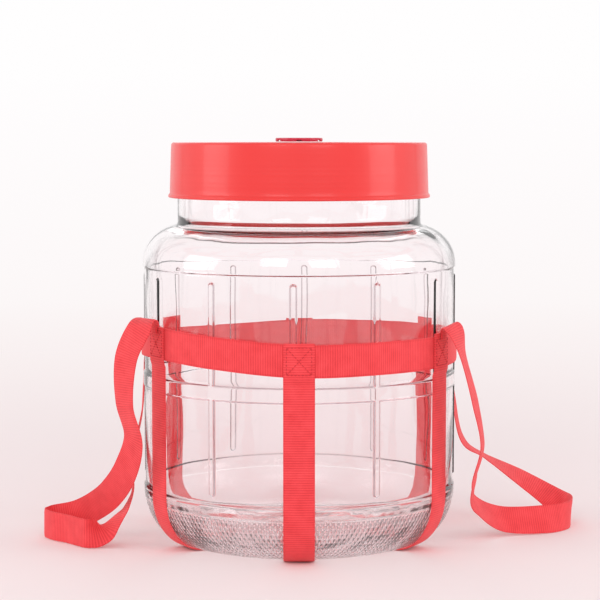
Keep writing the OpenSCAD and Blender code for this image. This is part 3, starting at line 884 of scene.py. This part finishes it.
ROUTE_LEFT = [sewn_at(-1, 60, 0.5, -60, 9), sewn_at(-1, 60.1, -5, -60, 11)] + beside(-1, [
    (-13.2, -71.8, 195, -52, 0, 16), (-9, -76, 197.5, -40, 0, 21), (-2.5, -79, 190, -32, 2, 25),
    (8.5, -79.5, 165, -38, 3, 25), (10, -80, 128, -50, -6, 25), (3, -78, 97, -48, -8, 25),
    (11.6, -62, 67.5, -33, -36, 25), (26, -37, 44.5, -25, -47, 25), (42.5, -12, 28.6, -32, -51, 25),
    (61, 5, 17.4, -40, -66, 25), (81, 7, 13, -90, -84, 25), (87.2, -5, 12.6, -95, -86, 25),
    (79, -20, 12.6, -95, -86, 25), (65, -33, 12.6, -95, -88, 25), (50, -50, 12.7, -90, -90, 25),
    (45.5, -53.6, 12.7, -90, -90, 25), (40.5, -52, 12.7, -90, -76, 25), (35, -48.5, 13.2, -88, -50, 25),
    (28.5, -44, 15, -84, -24, 25), (21, -38, 22, -75, -6, 25), (13.6, -34, 31, -78, 3, 25),
    (8.5, -28, 45, -83, 6, 25), (10, -12, 60, -83, 25, 25), (8.6, 16, 82, -80, 35, 25),
    (5.5, 43, 104, -82, 32, 25), (5.5, 64, 128, -84, 22, 25), (4.5, 76, 152, -88, 8, 24),
    (-5.5, 75.5, 170, -102, 2, 19)]) + [sewn_at(-1, 120, 6, -120, 11)]
ROUTE_RIGHT = [sewn_at(1, 60, 5.5, -120, 9), sewn_at(1, 60.1, 0.5, -120, 11)] + beside(1, [
    (-13, -71.2, 190, -125, -5, 16), (-9, -74, 192, -130, -11, 22), (-4, -76, 186, -122, -5, 25),
    (1.5, -77, 166, -106, 4, 25), (12, -74, 127, -107, 8, 25), (18.6, -67, 91, -101, 9, 25),
    (14, -50, 58, -100, 8, 25), (17, -30, 34, -100, -4, 25), (43, -2, 15, -90, -50, 25),
    (87, 12, 12.4, -84, -68, 25), (108, 36, 12, -110, -74, 25), (103, 72, 15, -121, -48, 25),
    (74, 84, 33, -118, -20, 25), (35, 79, 57, -102, 4, 25), (14, 76, 74, -99, -4, 25),
    (6, 76, 112, -100, -2, 25), (1.5, 76.5, 148, -95, 2, 25), (-6.5, 75, 170, -79, 0, 19)]) + [
    sewn_at(1, 120, 6, -60, 11)]
print("stops:", len(ROUTE_LEFT), "left and", len(ROUTE_RIGHT), "right")

# %% Hand loops


def loop_frame(p, ahead):
    wide = Vector(p[3:6])
    wide = (wide - ahead * wide.dot(ahead)).normalized()
    nrm = ahead.cross(wide).normalized()

    def mid(x):
        q = Vector(p[:3]) + wide * x
        q.z = max(q.z, WEB_T / 2 + 0.05)
        return q

    return mid, lambda x: nrm, p[6] / 2


def hand_loop(name, node, body, route):
    stops = []
    for x, y, z, turn, tilt, wide in route:
        a, e = math.radians(turn), math.radians(tilt)
        stops.append((x, y, z, math.cos(a) * math.cos(e), math.sin(a) * math.cos(e), math.sin(e), wide))
    path, length = resample(catmull(stops, 24), 0.34)
    frames = []
    for i, p in enumerate(path):
        a, b = path[max(0, i - 3)], path[min(len(path) - 1, i + 3)]
        frames.append(loop_frame(p, Vector([q - r for q, r in zip(b[:3], a[:3])]).normalized()))
    obj = tape_from(name, frames, length / (len(frames) - 1), 8)
    dress(obj, WEB, "webbing", body, node)
    print(name, "tape length", round(length), "mm")
    return obj


hand_loop("loop_tape_left", "handle_left", "loop_left", ROUTE_LEFT)
hand_loop("loop_tape_right", "handle_right", "loop_right", ROUTE_RIGHT)

# %% [markdown]
# ## Stitching
# Each strap is sewn to the band with a box that has a cross in it, the usual seam on load-bearing
# webbing. Every stitch is a short rounded thread, a low sphere drawn out along the seam, because
# single stitches throw tiny shadows that a painted line doesn't have.

# %% Stitches


def stitch_lines(rise):
    w, lo, hi = 10.2, BAND_Z + rise + 2.6, BAND_Z + rise + BAND_W - 2.4
    return [((-w, lo), (w, lo)), ((w, lo), (w, hi)), ((w, hi), (-w, hi)), ((-w, hi), (-w, lo)),
            ((-w, lo), (w, hi)), ((w, lo), (-w, hi))]


def stitches(name, turn):
    bm = bmesh.new()
    r = OVER_MID + WEB_T / 2 + 0.06
    spin = Matrix.Rotation(math.radians(turn), 4, "Z")
    for (x0, z0), (x1, z1) in stitch_lines(band_rise(turn)):
        run = math.hypot(x1 - x0, z1 - z0)
        count = round(run / 3.0)
        slope = math.atan2(z1 - z0, x1 - x0)
        for k in range(count):
            t = (k + 0.5) / count
            x, z = x0 + (x1 - x0) * t, z0 + (z1 - z0) * t
            place = (spin @ Matrix.Rotation(math.asin(x / r), 4, "Z") @ Matrix.Translation((0, -r * MM, z * MM))
                     @ Matrix.Rotation(-slope, 4, "Y") @ Matrix.Diagonal((1.15, 0.30, 0.36, 1.0)))
            bmesh.ops.create_uvsphere(bm, u_segments=8, v_segments=6, radius=MM, matrix=place)
    return finish_mesh(bm, name)


for k, turn in enumerate((0, 60, 120, 180, -120, -60)):
    dress(stitches("stitches_%d" % (k + 1), turn), THREAD, "webbing", "harness")

# %% [markdown]
# ## Studio
# Glass shows its surroundings, so the studio is part of its look. A pale bowl stands in for floor and
# backdrop, the same from every side. Near the jar it is a lit floor that keeps the jar's shadow, and
# further out it fades into a plain glow of the same colour. Eight narrow flags stand in a ring
# round the jar: six grey ones are there for light that has passed through glass, and two dark ones
# also for reflections. They draw the grey lines along ribs and edges that clear glass needs, and the
# wide gaps between them keep the view straight through the jar bright.

# %% Bowl


def bowl():
    profile = [(0.0, 0.0), (500.0, 0.0), (1000.0, 0.0), (1600.0, 0.0)]
    profile += arc(2400, 900, 900, 900, -90, 0, 16) + [(3300, 1500)]
    obj = lathe("bowl", profile, 96, closed=False)
    mat, tree, bsdf = new_material("bowl")
    x, y, z = split(tree, put(tree, "ShaderNodeTexCoord").outputs["Object"])
    squares = [math_node(tree, "MULTIPLY", side, side) for side in (x, y)]
    radius = math_node(tree, "SQRT", math_node(tree, "ADD", *squares))
    out = math_node(tree, "MULTIPLY", math_node(tree, "ADD", radius, math_node(tree, "MULTIPLY", z, 1.5)), 0.25)
    tone = ramp(tree, out, [(0.12, FLOOR_TONE), (0.30, (0.940, 0.862, 0.862)), (0.60, (0.972, 0.928, 0.928)),
                            (0.93, (0.995, 0.975, 0.980)), (1.0, (1.0, 0.99, 0.992))])
    tree.links.new(tone, bsdf.inputs["Base Color"])
    bsdf.inputs["Roughness"].default_value = 0.95
    bsdf.inputs["Specular IOR Level"].default_value = 0.1
    far = ramp(tree, math_node(tree, "MULTIPLY", radius, 0.5), [(0.35, (0, 0, 0)), (0.75, (1, 1, 1))])
    glow, mix = put(tree, "ShaderNodeEmission"), put(tree, "ShaderNodeMixShader")
    tree.links.new(tone, glow.inputs[0])
    tree.links.new(far, mix.inputs[0])
    tree.links.new(bsdf.outputs[0], mix.inputs[1])
    tree.links.new(glow.outputs[0], mix.inputs[2])
    end = next(n for n in tree.nodes if n.type == "OUTPUT_MATERIAL")
    tree.links.new(mix.outputs[0], end.inputs["Surface"])
    obj.data.materials.append(mat)
    return obj


FLOOR_TONE = (0.900, 0.800, 0.805)
bowl()
print("bowl is 6.6 m across")

# %% Flags
FLAG_R, FLAG_FOOT, FLAG_H = 0.6, 0.002, 0.7


def flag_material(name, tone, gloss):
    mat, tree, bsdf = new_material(name)
    ray = put(tree, "ShaderNodeLightPath")
    seen = ray.outputs["Is Transmission Ray"]
    if gloss:
        seen = math_node(tree, "MAXIMUM", seen, ray.outputs["Is Glossy Ray"])
    kinds = ("ShaderNodeEmission", "ShaderNodeBsdfTransparent", "ShaderNodeMixShader")
    dark, clear, mix = (put(tree, kind) for kind in kinds)
    dark.inputs[0].default_value = (*tone, 1)
    tree.links.new(seen, mix.inputs[0])
    tree.links.new(clear.outputs[0], mix.inputs[1])
    tree.links.new(dark.outputs[0], mix.inputs[2])
    end = next(n for n in tree.nodes if n.type == "OUTPUT_MATERIAL")
    tree.links.new(mix.outputs[0], end.inputs["Surface"])
    return mat


def flag_ring(name, spans, height, mat):
    """One curved flag for each (from, to) in degrees off the rear, on both hands."""
    bm = bmesh.new()
    for lo, hi in spans:
        for side in (-1, 1):
            made = bmesh.ops.create_grid(bm, x_segments=8, y_segments=1, size=0.5)["verts"]
            for v in made:
                a = math.radians(side * (lo + (hi - lo) * (v.co.x + 0.5)))
                v.co = (FLAG_R * math.sin(a), FLAG_R * math.cos(a), FLAG_FOOT + (v.co.y + 0.5) * height)
    obj = finish_mesh(bm, name)
    obj.data.materials.append(mat)
    return obj


GLASS_FLAGS, GLOSS_FLAGS = [(25, 27), (115, 117), (153, 155)], [(61, 64)]
flag_ring("flags_glass", GLASS_FLAGS, FLAG_H, flag_material("flag_glass", (0.58, 0.53, 0.54), False))
flag_ring("flags_gloss", GLOSS_FLAGS, FLAG_H, flag_material("flag_gloss", (0.16, 0.14, 0.14), True))
print("flags:", 2 * len(GLASS_FLAGS + GLOSS_FLAGS))

# %% [markdown]
# ## Light
# The light is soft and plain, so a colour renders about as it is written. A pale surround gives most
# of it. Two lamps in front reach through the jar to the webbing behind it, one on each hand keeps the
# sides as bright as the front, and one behind does the same for the rear.

# %% World and lamps


def surround(level):
    world = bpy.data.worlds.new("studio")
    bpy.context.scene.world = world
    world.use_nodes = True
    tree = world.node_tree
    back = next(n for n in tree.nodes if n.type == "BACKGROUND")
    back.inputs[0].default_value = (1.0, 0.988, 0.988, 1)
    ray = put(tree, "ShaderNodeLightPath")
    direct = math_node(tree, "MAXIMUM", ray.outputs["Is Camera Ray"], ray.outputs["Is Glossy Ray"])
    seen = math_node(tree, "MAXIMUM", direct, ray.outputs["Is Transmission Ray"])
    tree.links.new(math_node(tree, "ADD", math_node(tree, "MULTIPLY", seen, 1 - level), level), back.inputs[1])


def area(name, place, aim, size, power):
    light = bpy.data.lights.new(name, "AREA")
    light.shape, light.size, light.size_y = "RECTANGLE", size[0], size[1]
    light.energy = power
    obj = bpy.data.objects.new(name, light)
    bpy.context.scene.collection.objects.link(obj)
    obj.location = place
    obj.rotation_euler = (Vector(aim) - Vector(place)).to_track_quat("-Z", "Y").to_euler()
    return obj


surround(0.74)
area("front_left", (-0.7, -2.0, 1.3), (0, 0, 0.15), (0.8, 1.0), 5.7)
area("front_right", (0.7, -2.0, 1.2), (0, 0, 0.15), (0.8, 1.0), 5.2)
area("side_left", (-1.7, -0.4, 0.7), (0, 0, 0.12), (0.9, 0.9), 6)
area("side_right", (1.7, -0.4, 0.7), (0, 0, 0.12), (0.9, 0.9), 6)
area("back", (0, 1.9, 1.3), (0, 0, 0.15), (1.4, 0.9), 4)
print("five lamps")

# %% [markdown]
# ## Camera
# The camera stands 1.64 m in front of the jar, at the height of the lid, and looks down by five
# degrees with a long lens, as the ellipses of lid and ring in the photograph show.

# %% Camera
cam = bpy.data.cameras.new("camera")
cam.sensor_width = 36
cam.lens = 1892 / 600 * 36
cam.shift_x = 0.93 / 600
camera = bpy.data.objects.new("camera", cam)
bpy.context.scene.collection.objects.link(camera)
camera.location = (0, -1.637, 0.3478)
camera.rotation_euler = (math.radians(90 - 4.905), 0, 0)
bpy.context.scene.camera = camera
bpy.context.scene.view_settings.view_transform = "Standard"
